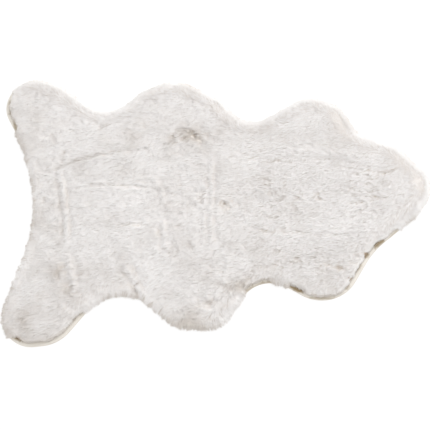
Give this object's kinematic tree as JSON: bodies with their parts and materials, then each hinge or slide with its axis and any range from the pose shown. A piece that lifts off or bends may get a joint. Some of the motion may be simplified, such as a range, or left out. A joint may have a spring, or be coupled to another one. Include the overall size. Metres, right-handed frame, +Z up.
{
  "type": "faux fur rug",
  "caption": "Pelt-shaped faux fur rug, a flat long-pile panel with a folded tape binding round its edge.",
  "frame": {"origin": "centre of the rug's box, on the floor", "axes": "+X along the rug towards the head end, +Y across it, +Z up from the floor"},
  "size_m": [0.915, 0.605, 0.0276],
  "materials": {
    "fur": "ivory long-pile faux fur on a knitted ground",
    "tape": "cream twill tape"
  },
  "bodies": {
    "root": {"fur_panel": "fur", "binding": "tape"}
  },
  "joints": []
}
